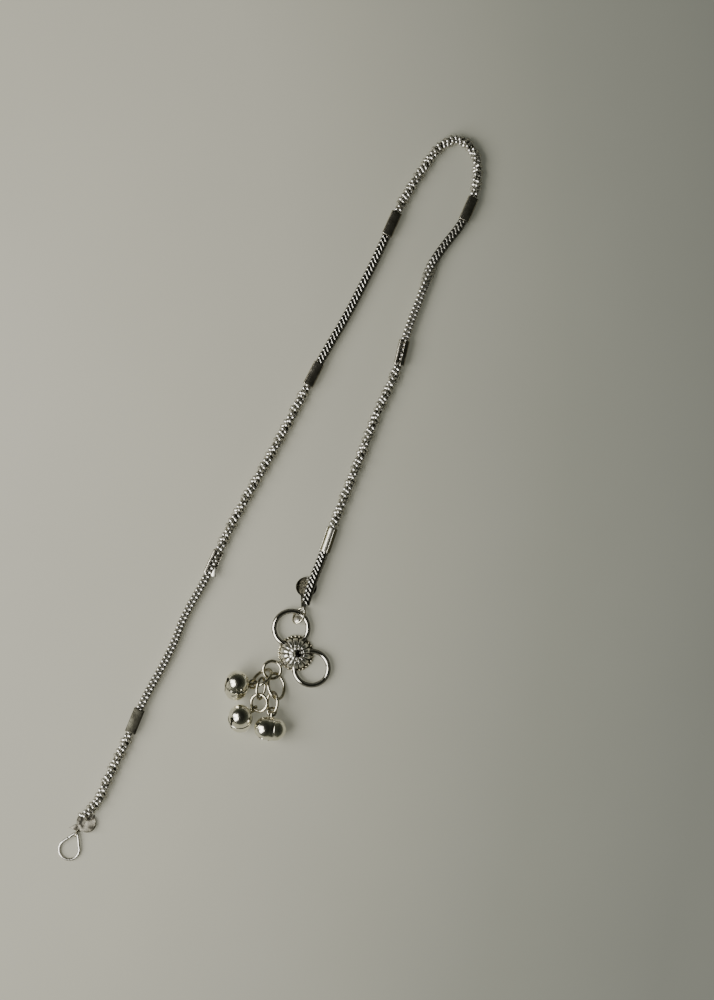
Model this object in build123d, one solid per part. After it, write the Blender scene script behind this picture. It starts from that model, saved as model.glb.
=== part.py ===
from build123d import *
import math
import os

# A payal: a silver anklet of fine woven chain, lying open on a table in a long hairpin.
# Millimetres, +Z up, the table at Z = 0, the origin at the middle of the anklet's footprint.
# The hook is at the lower left, the arch of the chain at the top, and the bells hang from a
# flower boss at the lower middle.

# ---------------------------------------------------------------- driving dimensions
CHAIN_DIAMETER = 1.8
CHAIN_END_GAP = 0.1  # each length of chain stops this short of the middle of its sleeve
ARC_SHARE = 0.45  # share of the shorter run that a bend's arc takes up

SLEEVE_LENGTH = 5.0
SLEEVE_HALF_SIDE = 1.09  # of its rounded square section, outside
SLEEVE_CORNER_RADIUS = 0.45
SLEEVE_WALL = 0.14

LEAF_THICKNESS = 0.35
LEAF_CURL_RADIUS = 3.5
LEAF_SHOULDER = 0.55  # width of the tail's root, as a share of the disc's

CHARM_LEAF = {
    "disc_centre": (7.56, -17.4), "tail_end": (6.95, -21.45),
    "disc_radius": 2.0, "tail_radius": 0.4, "curl_shift": 0.6,
}
CHARM_EYE_HALF_LENGTH = 1.65
CHARM_EYE_HALF_WIDTH = 1.2
CHARM_EYE_WIRE = 0.38
CHARM_EYE_INSET = 0.45  # how far its middle lies inside the upper ring's wire
CHARM_EYE_BEARING = 57  # where round the upper ring the eye sits
CHARM_EYE_TILT = -39.2
CHARM_POOL_RADIUS = 0.8  # the pool of solder in the eye's inner end
CHARM_POOL_THICKNESS = 0.56
CHARM_POOL_SHIFT = 0.92  # its middle, inward from the eye's
CHARM_SOLDER_RADIUS = 0.45
CHARM_SOLDER_HEIGHT = 0.7

HOOK_LEAF = {
    "disc_centre": (-36.45, -64.45), "tail_end": (-38.15, -66.1),
    "disc_radius": 1.95, "tail_radius": 0.35, "curl_shift": -0.5,
}
HOOK_LEAF_CORNER = [(-38.5, -66.1), (-37.4, -64.2), (-39.9, -65.5)]
HOOK_LEAF_CORNER_THICKNESS = 0.3
HOOK_LEAF_CORNER_LIFT = 0.05
HOOK_EYE_RADIUS = 0.5
HOOK_EYE_WIRE = 0.3
HOOK_SOLDER_RADIUS = 0.3
HOOK_SOLDER_HEIGHT = 0.5

RING_MEAN_RADIUS = 3.4
RING_WIRE = 0.95
RING_HEIGHT = 0.95
DROP_RING_MEAN_RADIUS = 1.75
DROP_RING_WIRE = 0.6
DROP_RING_HEIGHT = 1.1

FLOWER_CENTRE = (5.42, -30.64)
PLATE_RADIUS = 3.5
PLATE_THICKNESS = 0.4
DOME_RADIUS = 3.15
DOME_HEIGHT = 2.3
DOME_SPHERE = (DOME_RADIUS ** 2 + DOME_HEIGHT ** 2) / (2 * DOME_HEIGHT)  # its sphere's radius
DOME_SPHERE_HEIGHT = PLATE_THICKNESS + DOME_HEIGHT - DOME_SPHERE  # height of its middle
PIT_RADIUS = 0.6
PIT_OFFSET = 0.45
PETAL_COUNT = 14
PETAL_STATIONS = [(22, 0.15), (46, 0.3), (66, 0.4)]  # angle from the dome's top, lobe radius
BEAD_COUNT = 28
BEAD_RADIUS = 0.27
BEAD_INSET = 0.1
DROP_SOLDER_RADIUS = 0.55
DROP_SOLDER_HEIGHT = 0.75
DROP_SOLDER_REACH = 0.15  # its middle, beyond the plate's edge

UPPER_RING_CENTRE = (4.50, -25.58)
CATCH_RING_CENTRE = (8.54, -33.60)
DROP_RING_CENTRE = (0.70, -33.90)

HOOK_WIRE = 0.54
HOOK_MEAN_RADIUS = 2.03
HOOK_TIP = (-38.44, -66.75, 0.66)  # where its wire passes through the leaf's eye
HOOK_TIP_RADIUS = 0.55
HOOK_CENTRE = (-39.87, -69.85, 0.44)
HOOK_GAP = 0.15
HOOK_CUT_REACH = 1.1  # from the tip's bend to the cut, along the straight side

OVAL_END_FULLNESS = 1.1  # an oval link's end radius against an ellipse's

CUP_RADIUS = 2.3
CUP_STRAIGHT = 1.0
CUP_WALL = 0.25
FLANGE_RADIUS = 2.45
FLANGE_THICKNESS = 0.3
BELL_EYE_RADIUS = 0.8
BELL_EYE_WIRE = 0.46
BELL_EYE_REACH = 3.35
BELL_NECK_RADIUS = 0.3
SLIT_WIDTH = 0.45
SLIT_END_RADIUS = 0.5
SLIT_HALF_LENGTH = 1.8
SLIT_DEPTH = 3.0
PELLET_RADIUS = 0.9
PELLET_CLEARANCE = 0.05

OVERLAP = 0.1  # how far soldered and joined forms run into each other

# The bends of each length of chain, from the hook round to the charm (x, y, z of the line).
# A sleeve joins two lengths, midway between the last bend of one and the first of the next.
CHAIN_BENDS = {
    "chain_twisted_1": [
        (-37.3, -63.4, 1.75), (-34.1, -60.8, 1.0), (-32.5, -56.4, 0.9), (-28.3, -48.0, 1.09),
    ],
    "chain_plain_2": [
        (-25.1, -40.2, 1.09), (-19.3, -30.0, 0.9), (-16.9, -23.2, 0.9), (-12.8, -16.4, 1.09),
    ],
    "chain_twisted_3": [
        (-9.2, -8.6, 1.09), (-5.5, -1.3, 0.9), (0.2, 8.4, 0.9), (7.1, 21.4, 1.09),
    ],
    "chain_plain_4": [
        (10.9, 28.8, 1.09), (15.5, 36.4, 0.9), (19.5, 44.2, 0.9), (22.7, 50.8, 1.09),
    ],
    "chain_twisted_5": [
        (26.6, 59.5, 1.09), (30.3, 65.3, 0.9), (33.1, 69.4, 0.9), (35.1, 71.2, 0.9),
        (37.3, 72.0, 0.9), (39.3, 71.5, 0.9), (40.8, 69.9, 0.9), (41.7, 67.8, 0.9),
        (41.75, 65.0, 0.9), (41.3, 61.1, 1.09),
    ],
    "chain_plain_6": [
        (38.65, 55.1, 1.09), (35.7, 51.6, 0.9), (32.7, 47.4, 0.9), (30.6, 41.0, 0.9),
        (27.5, 33.2, 1.09),
    ],
    "chain_twisted_7": [
        (25.7, 25.6, 1.09), (21.9, 18.0, 0.9), (18.6, 9.2, 0.9), (13.2, -4.3, 1.25),
    ],
    "chain_plain_8": [
        (10.7, -11.6, 1.25), (8.6, -16.6, 1.5), (7.4, -20.6, 1.42),
    ],
}

# Each sleeve: the turn of its square section, the turn of its seam from the top, and how wide
# the seam gapes. Turns are to the right of the way from hook to charm, in degrees.
SLEEVES = [
    # section_turn, seam_turn, seam_gap
    (0, 80, 0.35),
    (0, 22, 1.6),
    (0, 180, 0.3),
    (0, 180, 0.3),
    (0, 180, 0.3),
    (0, 5, 0.5),
    (17, 180, 0.3),
]

# Loose links, each a flat oval of round wire: its middle, half length and half width, wire,
# the bearing of its long axis from +X, the lift of that axis, and the roll about it.
LINKS = {
    # name: (centre, half_length, half_width, wire, bearing, pitch, roll)
    "drop_link": ((1.53, -37.14, 1.49), 2.6, 1.85, 0.6, 98.6, -14.0, 34.6),
    "jump_ring_upper": ((-1.26, -35.43, 1.68), 2.15, 1.7, 0.6, 41.2, -9.5, -52.3),
    "long_link": ((-1.5, -37.52, 2.71), 2.15, 1.05, 0.54, 83.5, 6.1, 42.2),
    "jump_ring_lower": ((-1.84, -40.41, 2.41), 1.7, 1.7, 0.6, -0.2, 21.4, 2.9),
    "bell_link": ((0.8, -40.3, 2.17), 2.0, 1.55, 0.6, 91.4, -9.8, -47.8),
}

# Bells: the middle, the rise of the axis and its bearing from +Y, the turn of the eye about
# the axis, and the twist of the eye about its own stem.
BELLS = [
    # (x, y), axis_rise, axis_bearing, eye_turn, eye_twist
    ((-6.31, -36.95), 39.3, 11.7, 24.4, 54.9),
    ((-5.58, -43.53), 56.0, 1.9, 41.9, 91.1),
    ((0.36, -45.55), 24.4, -81.6, 6.1, 72.8),
]


# ---------------------------------------------------------------- helpers
def torus(centre, normal, mean_radius, wire):
    """A closed round ring of round wire."""
    return Plane(origin=centre, z_dir=normal) * Torus(mean_radius, wire / 2)


def lens(radius, thickness):
    """A round pool, thickest in its middle and sharp at its rim."""
    half = thickness / 2
    ball = (radius ** 2 + half ** 2) / thickness
    upper, lower = (Pos(0, 0, side * (ball - half)) * Sphere(ball) for side in (-1, 1))
    return upper & lower


def between(start, end, share=0.5):
    """The point a share of the way from start to end."""
    return Vector(*start) + (Vector(*end) - Vector(*start)) * share


# ---------------------------------------------------------------- chain and sleeves
def chain_points():
    """Each length's line, from the middle of one sleeve to the middle of the next."""
    bends = list(CHAIN_BENDS.values())
    middles = [between(left[-1], right[0]) for left, right in zip(bends, bends[1:])]
    lines = {}
    for index, (name, corners) in enumerate(CHAIN_BENDS.items()):
        line = [Vector(*corner) for corner in corners]
        if index > 0:
            line.insert(0, middles[index - 1])
        if index < len(middles):
            line.append(middles[index])
        lines[name] = line
    return lines, middles


def chain_tube(name, line):
    """A round tube on straight runs joined by tangent arcs."""
    points = list(line)
    points[0] = points[0] + (points[1] - points[0]).normalized() * CHAIN_END_GAP
    points[-1] = points[-1] + (points[-2] - points[-1]).normalized() * CHAIN_END_GAP
    radii = []
    for before, corner, after in zip(points, points[1:], points[2:]):
        run_in = corner - before
        run_out = after - corner
        half_turn = math.radians(run_in.get_angle(run_out)) / 2
        radii.append(ARC_SHARE * min(run_in.length, run_out.length) / math.tan(half_turn))
    path = FilletPolyline(*points, radius=radii)
    tube = sweep(Plane(origin=path @ 0, z_dir=path % 0) * Circle(CHAIN_DIAMETER / 2), path=path)
    expected = math.pi * (CHAIN_DIAMETER / 2) ** 2 * path.length
    print(f"{name}: length {path.length:.1f}, volume / expected {tube.volume / expected:.4f}, "
          f"radii {[round(radius, 1) for radius in radii]}")
    return tube


def sleeve(middle, way, section_turn, seam_turn, seam_gap):
    """A square tube bent from sheet round the chain, open along its seam."""
    section_plane = Plane(origin=middle, x_dir=Vector(0, 0, 1).cross(way), z_dir=way)
    side = 2 * SLEEVE_HALF_SIDE
    bore_side = side - 2 * SLEEVE_WALL
    outside = RectangleRounded(side, side, SLEEVE_CORNER_RADIUS)
    bore = RectangleRounded(bore_side, bore_side, SLEEVE_CORNER_RADIUS - SLEEVE_WALL)
    slot = Pos(0, 1.5 * SLEEVE_HALF_SIDE) * Rectangle(seam_gap, side)
    section = Rot(0, 0, section_turn) * (outside - bore) - Rot(0, 0, seam_turn) * slot
    return extrude(section_plane * section, amount=SLEEVE_LENGTH / 2, both=True)


# ---------------------------------------------------------------- leaf caps
def leaf_sheet(disc_centre, tail_end, disc_radius, tail_radius, curl_shift):
    """A leaf-shaped plate that lies under the chain's end, curled into a trough along its length."""
    way = Vector(*tail_end) - Vector(*disc_centre)
    plane = Plane(origin=(*disc_centre, 0), x_dir=way, z_dir=(0, 0, 1))
    shoulder = Circle(disc_radius * LEAF_SHOULDER)
    tail = Pos(way.length) * Circle(tail_radius)
    outline = Circle(disc_radius) + make_hull(shoulder.edges() + tail.edges())
    blank = extrude(outline, amount=LEAF_CURL_RADIUS)
    reach = 4 * disc_radius
    curl = Cylinder(LEAF_CURL_RADIUS, reach) - Cylinder(LEAF_CURL_RADIUS - LEAF_THICKNESS, reach)
    trough = Pos(0, curl_shift, LEAF_CURL_RADIUS) * Rot(0, 90, 0) * curl
    return plane * (blank & trough)


def leaf_cap_charm():
    """The plate at the bells' end, with a tilted oval eye that links it to the upper ring."""
    sheet = leaf_sheet(**CHARM_LEAF)
    bearing = math.radians(CHARM_EYE_BEARING)
    outward = Vector(math.cos(bearing), math.sin(bearing), 0)
    tangent = Vector(-math.sin(bearing), math.cos(bearing), 0)
    eye_reach = RING_MEAN_RADIUS - CHARM_EYE_INSET
    eye_middle = Vector(*UPPER_RING_CENTRE, RING_HEIGHT) + outward * eye_reach
    tilt = math.radians(CHARM_EYE_TILT)
    across = tangent * math.cos(tilt) + Vector(0, 0, 1) * math.sin(tilt)
    eye_plane = Plane(origin=eye_middle, x_dir=outward, z_dir=outward.cross(across))
    eye = eye_plane * oval_loop(CHARM_EYE_HALF_LENGTH, CHARM_EYE_HALF_WIDTH, CHARM_EYE_WIRE)
    pool = eye_plane * Pos(-CHARM_POOL_SHIFT) * lens(CHARM_POOL_RADIUS, CHARM_POOL_THICKNESS)
    joint = eye_middle + outward * (CHARM_EYE_HALF_LENGTH + OVERLAP)
    solder = Pos(joint.X, joint.Y, CHARM_SOLDER_HEIGHT) * Sphere(CHARM_SOLDER_RADIUS)
    return sheet + solder + eye + pool


def leaf_cap_hook():
    """The plate at the hook's end, with a bent-up corner and a small standing eye."""
    sheet = leaf_sheet(**HOOK_LEAF)
    corner = extrude(Polygon(*HOOK_LEAF_CORNER, align=None), amount=HOOK_LEAF_CORNER_THICKNESS)
    toward_ring = (Vector(*HOOK_CENTRE[:2]) - Vector(*HOOK_TIP[:2])).normalized()
    eye = torus(HOOK_TIP, toward_ring.cross(Vector(0, 0, 1)), HOOK_EYE_RADIUS, HOOK_EYE_WIRE)
    joint = Vector(*HOOK_TIP) - toward_ring * (HOOK_EYE_RADIUS + OVERLAP)
    solder = Pos(joint.X, joint.Y, HOOK_SOLDER_HEIGHT) * Sphere(HOOK_SOLDER_RADIUS)
    return sheet + Pos(0, 0, HOOK_LEAF_CORNER_LIFT) * corner + solder + eye


# ---------------------------------------------------------------- hook ring
def hook_ring():
    """A teardrop ring of wire through the hook leaf's eye, cut open on its upper left side."""
    tip = Vector(*HOOK_TIP)
    way = Vector(*HOOK_CENTRE) - tip
    plane = Plane(origin=tip, x_dir=way, z_dir=way.cross(Vector(0, 0, 1).cross(way)))
    lean = math.asin((HOOK_MEAN_RADIUS - HOOK_TIP_RADIUS) / (way.length - HOOK_TIP_RADIUS))
    tip_side = (HOOK_TIP_RADIUS * (1 - math.sin(lean)), HOOK_TIP_RADIUS * math.cos(lean))
    ring_side = (way.length - HOOK_MEAN_RADIUS * math.sin(lean), HOOK_MEAN_RADIUS * math.cos(lean))
    left_tip = Vector(tip_side[0], -tip_side[1])
    left_ring = Vector(ring_side[0], -ring_side[1])
    side_way = (left_ring - left_tip).normalized()
    cut = left_tip + side_way * HOOK_CUT_REACH
    path = Wire([
        Line(cut, left_tip),
        ThreePointArc(left_tip, (0, 0), tip_side),
        Line(tip_side, ring_side),
        ThreePointArc(ring_side, (way.length + HOOK_MEAN_RADIUS, 0), left_ring),
        Line(left_ring, cut + side_way * HOOK_GAP),
    ])
    return plane * sweep(Plane(origin=path @ 0, z_dir=path % 0) * Circle(HOOK_WIRE / 2), path=path)


# ---------------------------------------------------------------- flower boss and its rings
def petal(turn):
    """One lobe of the flower, from near the middle down to the rim, in two tapered stretches."""
    lobe = None
    centres = [
        (DOME_SPHERE * math.sin(math.radians(angle)), 0,
         DOME_SPHERE_HEIGHT + DOME_SPHERE * math.cos(math.radians(angle)))
        for angle, _ in PETAL_STATIONS
    ]
    for (start, end), ((_, r_start), (_, r_end)) in zip(
        zip(centres, centres[1:]), zip(PETAL_STATIONS, PETAL_STATIONS[1:])
    ):
        way = Vector(*end) - Vector(*start)
        stretch = Plane(origin=between(start, end), z_dir=way) * Cone(r_start, r_end, way.length)
        stretch = stretch + Pos(*end) * Sphere(r_end)
        lobe = stretch if lobe is None else lobe + stretch
    return Rot(0, 0, turn) * lobe


def flower():
    """A domed boss of petals on a round plate edged with grains."""
    plate = Pos(0, 0, PLATE_THICKNESS / 2) * Cylinder(PLATE_RADIUS, PLATE_THICKNESS)
    above_plate = Cylinder(DOME_RADIUS, 2 * DOME_HEIGHT)
    above_plate = Pos(0, 0, PLATE_THICKNESS / 2 + DOME_HEIGHT) * above_plate
    dome = (Pos(0, 0, DOME_SPHERE_HEIGHT) * Sphere(DOME_SPHERE)) & above_plate
    petals = [petal(360 * index / PETAL_COUNT) for index in range(PETAL_COUNT)]
    bead = Pos(PLATE_RADIUS - BEAD_INSET, 0, PLATE_THICKNESS) * Sphere(BEAD_RADIUS)
    beads = [Rot(0, 0, 360 * index / BEAD_COUNT) * bead for index in range(BEAD_COUNT)]
    pit = Pos(PIT_OFFSET, 0, PLATE_THICKNESS + DOME_HEIGHT) * Sphere(PIT_RADIUS)
    return (plate + dome).fuse(*petals).fuse(*beads) - pit


def flower_connector():
    """The boss with the chain's ring, the catch ring and the drop ring soldered to it."""
    boss = Pos(*FLOWER_CENTRE) * flower()
    up = (0, 0, 1)
    upper_ring = torus((*UPPER_RING_CENTRE, RING_HEIGHT), up, RING_MEAN_RADIUS, RING_WIRE)
    catch_ring = torus((*CATCH_RING_CENTRE, RING_HEIGHT), up, RING_MEAN_RADIUS, RING_WIRE)
    drop_ring_centre = (*DROP_RING_CENTRE, DROP_RING_HEIGHT)
    drop_ring = torus(drop_ring_centre, up, DROP_RING_MEAN_RADIUS, DROP_RING_WIRE)
    way = (Vector(*DROP_RING_CENTRE) - Vector(*FLOWER_CENTRE)).normalized()
    joint = Vector(*FLOWER_CENTRE) + way * (PLATE_RADIUS + DROP_SOLDER_REACH)
    solder = Pos(joint.X, joint.Y, DROP_SOLDER_HEIGHT) * Sphere(DROP_SOLDER_RADIUS)
    return boss + solder + drop_ring + upper_ring + catch_ring


# ---------------------------------------------------------------- loose links
def oval(half_length, half_width):
    """A closed flat oval of four tangent arcs, or a circle where both halves are the same."""
    if half_length == half_width:
        return Circle(half_length).wire()
    end = half_width ** 2 / half_length * OVAL_END_FULLNESS
    side = (half_length ** 2 + half_width ** 2 - 2 * half_length * end) / (2 * (half_width - end))
    end_centre = half_length - end
    side_centre = side - half_width
    lean = math.atan2(end_centre, side_centre)
    join_x = side * math.sin(lean)
    join_y = side * math.cos(lean) - side_centre
    arcs = [
        ThreePointArc((join_x, -join_y), (half_length, 0), (join_x, join_y)),
        ThreePointArc((join_x, join_y), (0, half_width), (-join_x, join_y)),
        ThreePointArc((-join_x, join_y), (-half_length, 0), (-join_x, -join_y)),
        ThreePointArc((-join_x, -join_y), (0, -half_width), (join_x, -join_y)),
    ]
    return Wire(arcs)


def oval_loop(half_length, half_width, wire):
    """A flat oval of round wire, its long axis along X."""
    outline = oval(half_length, half_width)
    return sweep(Plane(origin=outline @ 0, z_dir=outline % 0) * Circle(wire / 2), path=outline)


def link(centre, half_length, half_width, wire, bearing, pitch, roll):
    """A loose link, laid at its tilt."""
    loop = oval_loop(half_length, half_width, wire)
    return Pos(*centre) * Rot(0, 0, bearing) * Rot(0, -pitch, 0) * Rot(roll, 0, 0) * loop


# ---------------------------------------------------------------- bells
def capsule(radius):
    """A round-ended cylinder along Z, of the cups' straight length."""
    ends = [Pos(0, 0, side * CUP_STRAIGHT) * Sphere(radius) for side in (-1, 1)]
    return Cylinder(radius, 2 * CUP_STRAIGHT).fuse(*ends)


def bell_shell(eye_twist):
    """Two cups joined mouth to mouth at a flange, an eye on its rim and a slit opposite the eye."""
    outside = capsule(CUP_RADIUS) + Cylinder(FLANGE_RADIUS, FLANGE_THICKNESS)
    neck_end = BELL_EYE_REACH - BELL_EYE_RADIUS
    neck = Cylinder(BELL_NECK_RADIUS, neck_end - CUP_RADIUS + OVERLAP)
    neck = Pos((CUP_RADIUS + neck_end - OVERLAP) / 2) * Rot(0, 90, 0) * neck
    twist = math.radians(eye_twist)
    eye_normal = (0, -math.sin(twist), math.cos(twist))
    eye = torus((BELL_EYE_REACH, 0, 0), eye_normal, BELL_EYE_RADIUS, BELL_EYE_WIRE)
    slit = Pos(-FLANGE_RADIUS) * Box(SLIT_DEPTH, SLIT_WIDTH, 2 * SLIT_HALF_LENGTH)
    slit_end = Rot(0, 90, 0) * Cylinder(SLIT_END_RADIUS, SLIT_DEPTH)
    for end in (-SLIT_HALF_LENGTH, SLIT_HALF_LENGTH):
        slit = slit + Pos(-FLANGE_RADIUS, 0, end) * slit_end
    return outside.fuse(neck, eye) - capsule(CUP_RADIUS - CUP_WALL) - slit


def bell_and_pellet(place, axis_rise, axis_bearing, eye_turn, eye_twist):
    """A bell resting on the table at its tilt, and the loose pellet at its lowest inner point."""
    rise, bearing, turn = (math.radians(angle) for angle in (axis_rise, axis_bearing, eye_turn))
    up = Vector(0, 0, 1)
    axis = Vector(math.sin(bearing), math.cos(bearing), 0) * math.cos(rise) + up * math.sin(rise)
    side = Vector(math.cos(bearing), -math.sin(bearing), 0)
    eye_way = side * math.cos(turn) + axis.cross(side) * math.sin(turn)
    shell = Plane(origin=(*place, 0), x_dir=eye_way, z_dir=axis) * bell_shell(eye_twist)
    height = -shell.bounding_box().min.Z
    room = CUP_RADIUS - CUP_WALL - PELLET_RADIUS - PELLET_CLEARANCE
    pellet_centre = Vector(*place, height) - axis * CUP_STRAIGHT - up * room
    return Pos(0, 0, height) * shell, Pos(*pellet_centre) * Sphere(PELLET_RADIUS)


# ---------------------------------------------------------------- the whole anklet
def build():
    nodes = {}
    lines, middles = chain_points()
    for name, line in lines.items():
        nodes[name] = chain_tube(name, line)
    ends = list(CHAIN_BENDS.values())
    for index, (middle, turns_and_gap) in enumerate(zip(middles, SLEEVES)):
        way = Vector(*ends[index + 1][0]) - Vector(*ends[index][-1])
        nodes[f"sleeve_{index + 1}"] = sleeve(middle, way.normalized(), *turns_and_gap)
    nodes["leaf_cap_hook"] = leaf_cap_hook()
    nodes["leaf_cap_charm"] = leaf_cap_charm()
    nodes["hook_ring"] = hook_ring()
    nodes["flower_connector"] = flower_connector()
    for name, sizes in LINKS.items():
        nodes[name] = link(*sizes)
    for index, pose in enumerate(BELLS, start=1):
        nodes[f"bell_{index}"], nodes[f"bell_pellet_{index}"] = bell_and_pellet(*pose)
    return nodes


os.makedirs("parts", exist_ok=True)
for node_name, solid in build().items():
    export_step(solid, f"parts/{node_name}.step")
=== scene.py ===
import math
import random

import bmesh
import bpy
import numpy as np
from mathutils import Matrix, Vector


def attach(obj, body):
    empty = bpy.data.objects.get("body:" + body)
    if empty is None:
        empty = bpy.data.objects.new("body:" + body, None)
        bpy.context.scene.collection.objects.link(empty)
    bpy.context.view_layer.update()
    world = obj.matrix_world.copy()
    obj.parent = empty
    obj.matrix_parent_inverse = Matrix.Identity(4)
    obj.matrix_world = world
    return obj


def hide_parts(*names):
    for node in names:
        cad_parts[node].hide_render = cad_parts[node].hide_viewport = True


# A payal: a silver anklet of woven chain lying open on pale paper, seen from above.
# The tables below are in millimetres, as the part's are; every mesh is made in metres.
MM = 0.001
UP = Vector((0, 0, 1))
WHITE = (1.0, 1.0, 1.0)
random.seed(7)

# ---------------------------------------------------------------- the chain's route
# Control points of each length of chain, from the hook round to the charm.
CHAIN_BENDS = {
    "chain_twisted_1": [
        (-37.3, -63.4, 1.75), (-34.1, -60.8, 1.0), (-32.5, -56.4, 0.9), (-28.3, -48.0, 1.09),
    ],
    "chain_plain_2": [
        (-25.1, -40.2, 1.09), (-19.3, -30.0, 0.9), (-16.9, -23.2, 0.9), (-12.8, -16.4, 1.09),
    ],
    "chain_twisted_3": [
        (-9.2, -8.6, 1.09), (-5.5, -1.3, 0.9), (0.2, 8.4, 0.9), (7.1, 21.4, 1.09),
    ],
    "chain_plain_4": [
        (10.9, 28.8, 1.09), (15.5, 36.4, 0.9), (19.5, 44.2, 0.9), (22.7, 50.8, 1.09),
    ],
    "chain_twisted_5": [
        (26.6, 59.5, 1.09), (30.3, 65.3, 0.9), (33.1, 69.4, 0.9), (35.1, 71.2, 0.9),
        (37.3, 72.0, 0.9), (39.3, 71.5, 0.9), (40.8, 69.9, 0.9), (41.7, 67.8, 0.9),
        (41.75, 65.0, 0.9), (41.3, 61.1, 1.09),
    ],
    "chain_plain_6": [
        (38.65, 55.1, 1.09), (35.7, 51.6, 0.9), (32.7, 47.4, 0.9), (30.6, 41.0, 0.9),
        (27.5, 33.2, 1.09),
    ],
    "chain_twisted_7": [
        (25.7, 25.6, 1.09), (21.9, 18.0, 0.9), (18.6, 9.2, 0.9), (13.2, -4.3, 1.25),
    ],
    "chain_plain_8": [
        (10.7, -11.6, 1.25), (8.6, -16.6, 1.5), (7.4, -20.6, 1.42),
    ],
}
CURVE_STEPS = 32  # samples between two control points
# The plain lengths that take a darker copy of the chain's silver: painted shade.
SHADED_LENGTHS = ("chain_plain_4", "chain_plain_8")

# The weave: one closed strand a pitch, waved so that its four corners lead and trail in turn.
LINK_PITCH = 0.92
PLAIN_CORNER = 1.12  # radius to the outside of a corner
TWISTED_CORNER = 1.14
SLEEVED_CORNER = 0.9  # what the sleeves squeeze it to
SQUEEZE_START = 2.2  # from the middle of a sleeve
SQUEEZE_END = 3.6
PLAIN_ROUNDNESS = 0.95  # 1 is a square section, 2 a round one
TWISTED_ROUNDNESS = 0.85
PLAIN_WAVE = 0.34
TWISTED_WAVE = 0.15
STRAND_HALF_WIDTH = 0.34
STRAND_HALF_THICKNESS = 0.3
STRAND_SWELL = 0.16  # how much fuller a strand is at its corners
STRAND_STEPS = 32  # along a strand
ROUND_STEPS = 8  # across a round strand
WORN_STEPS = 16  # across a strand that is worn flat
STRAND_SHADE_REACH = 0.8  # how far round to its inner side a strand's patina and painted shade reach
INNER_SHARE = 0.66  # size of the inner strand against the outer one
TWISTED_JITTER = 0.14
WAY_REACH = 0.2  # how far each side of a link its way is measured
CHAIN_SEED = 11

# How the section lies along each length: its turn in degrees, 0 with a corner up and 45 with a
# flat face up, how flat its strands are worn, 2 being round, and how dark their shade is painted.
CHAIN_STATIONS = {
    # name: (share of the length, turn, flatness, painted shade)
    "chain_twisted_1": [(0, 0, 2, 0), (1, 675, 2, 0)],
    "chain_plain_2": [(0, 45, 2, 0.15), (1, 45, 2, 0.15)],
    "chain_twisted_3": [(0, 45, 2, 0), (1, 1215, 2, 0)],
    "chain_plain_4": [(0, -45, 4.5, 0.25), (1, -45, 4.5, 0.25)],
    "chain_twisted_5": [(0, -45, 2, 0), (1, 1035, 2, 0)],
    "chain_plain_6": [
        (0, -45, 4.5, 0.85), (0.36, -45, 4.5, 0.75), (0.6, 45, 2, 0), (1, 45, 2, 0),
    ],
    "chain_twisted_7": [(0, 45, 2, 0), (1, 1152, 2, 0)],
    "chain_plain_8": [(0, -28, 5, 0.5), (1, -45, 5, 0.6)],
}

# ---------------------------------------------------------------- sleeves and leaves
SLEEVE_LENGTH = 5.0
SLEEVE_HALF_SIDE = 1.09
SLEEVE_CORNER_RADIUS = 0.45
SLEEVE_WALL = 0.14
SLEEVE_POINTS = 240  # round its outline, before the seam is cut
SLEEVE_ROWS = 21
EDGE_ROUNDING = 0.32  # of a sheet's thickness
EDGE_ANGLE = 45  # degrees, past which a sheet's edge is rounded
FLAP_CORNERS = [(-10.6, -13.2, 1.9), (-11.65, -15.2, 1.5), (-10.5, -15.4, 1.7)]
# Each sleeve: the turn of its square section, the turn of its seam from the top, how wide the
# seam gapes, how far its flats bow, and its silver. Turns are to the right of the way from hook
# to charm, in degrees.
SLEEVES = [
    # section_turn, seam_turn, seam_gap, bow, finish
    (0, 80, 0.35, 0.05, "worn_and_shaded_silver"),
    (0, 22, 1.6, 0.05, "sleeve_silver"),
    (0, 180, 0.3, 0.05, "sleeve_silver"),
    (0, 180, 0.3, 0.05, "sleeve_silver"),
    (0, 180, 0.3, 0.05, "sleeve_silver"),
    (0, 5, 0.5, 0.05, "sleeve_silver"),
    (17, 180, 0.3, 0.2, "lit_sleeve_silver"),
]

LEAF_THICKNESS = 0.35
LEAF_SHEET_SHARE = 0.9  # how much of its thickness a dented leaf keeps
LEAF_CURL_RADIUS = 3.5
LEAF_SHOULDER = 0.55
LEAF_TIP_HALF_WIDTH = 0.02
LEAF_ROWS = 64
LEAF_COLUMNS = 41
LEAF_DENTS = 14  # low lumps and dents a leaf
LEAF_DENT_HEIGHT = 0.13
LEAF_DENT_REACH = 0.4
LEAF_RIM_START = 0.66  # where its rim's painted shade begins, from its middle line to its edge
LEAF_RIM_END = 0.84
CHARM_LEAF = {
    "disc_centre": (7.56, -17.4), "tail_end": (6.95, -21.45),
    "disc_radius": 2.0, "tail_radius": 0.4, "curl_shift": 0.6,
}
CHARM_EYE_HALF_LENGTH = 1.65
CHARM_EYE_HALF_WIDTH = 1.2
CHARM_EYE_WIRE = 0.38
CHARM_EYE_INSET = 0.45
CHARM_EYE_BEARING = 57
CHARM_EYE_TILT = -39.2
CHARM_POOL_RADIUS = 0.8  # the pool of solder in the eye's inner end
CHARM_POOL_THICKNESS = 0.56
CHARM_POOL_SHIFT = 0.92
CHARM_SOLDER_RADIUS = 0.45
CHARM_SOLDER_HEIGHT = 0.7
CHARM_GRAINS = 22  # grains of solder on the eye's outer half
CHARM_GRAIN_TURN = 1.3  # how far round the eye they lie, in radians each way
CHARM_GRAIN_RADII = (0.15, 0.28)
CHARM_GRAIN_RISE = (0.05, 0.3)
CHARM_GRAIN_INSET = 0.5
HOOK_LEAF = {
    "disc_centre": (-36.45, -64.45), "tail_end": (-38.15, -66.1),
    "disc_radius": 1.95, "tail_radius": 0.35, "curl_shift": -0.5,
}
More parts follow.
